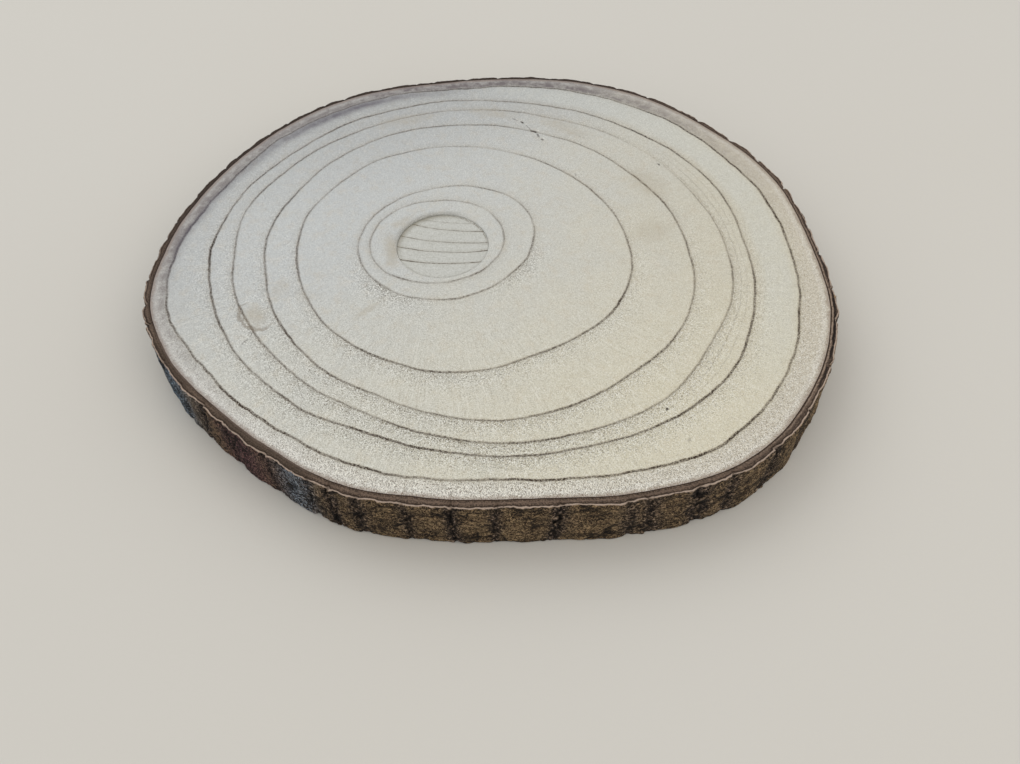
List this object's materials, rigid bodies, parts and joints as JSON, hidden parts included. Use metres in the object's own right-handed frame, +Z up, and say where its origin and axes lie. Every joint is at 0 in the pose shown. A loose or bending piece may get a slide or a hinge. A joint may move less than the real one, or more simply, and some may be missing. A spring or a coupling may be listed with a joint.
{
  "type": "wood slice",
  "caption": "Round slice of pale wood with its rough bark on, flat sawn faces with shallow growth lines, and a round plug set in the bored-out pith.",
  "frame": {"origin": "under the middle of the slice's outline, on the surface it lies on", "axes": "+Z up through the thickness, +X along the slice's longest way across, with the plug on the -X side of the middle"},
  "size_m": [0.3652, 0.326, 0.031],
  "materials": {
    "wood": "pale sawn end grain, dry and unfinished, with thin brown growth lines",
    "bark": "rough dry grey-brown bark with upright furrows over a brown inner bark",
    "plug": "slightly greyer sawn wood with bowed grain lines across it"
  },
  "bodies": {
    "root": {"wood": "wood", "bark": "bark", "plug": "plug"}
  },
  "joints": []
}
